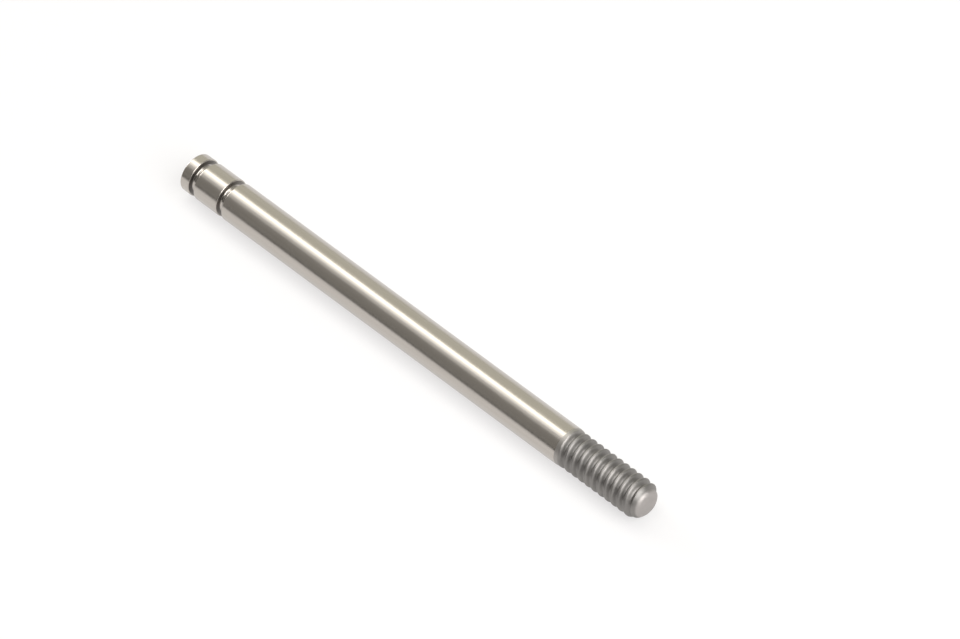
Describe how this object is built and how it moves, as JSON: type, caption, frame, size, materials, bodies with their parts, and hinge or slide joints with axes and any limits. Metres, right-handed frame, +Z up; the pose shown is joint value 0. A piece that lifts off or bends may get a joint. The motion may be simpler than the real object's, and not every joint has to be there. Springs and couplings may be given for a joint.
{
  "type": "shock absorber shaft",
  "caption": "Ground steel shock absorber shaft with clip grooves around a piston seat at one end and a machine thread with a rounded tip at the other.",
  "frame": {"origin": "on the shaft's axis, at mid length", "axes": "+X along the axis towards the thread, +Z up as the shaft lies"},
  "size_m": [0.0448, 0.003, 0.003],
  "materials": {
    "ground_steel": "centreless ground and polished rod, matte rolled thread"
  },
  "bodies": {
    "root": {"shaft": "ground_steel"}
  },
  "joints": []
}
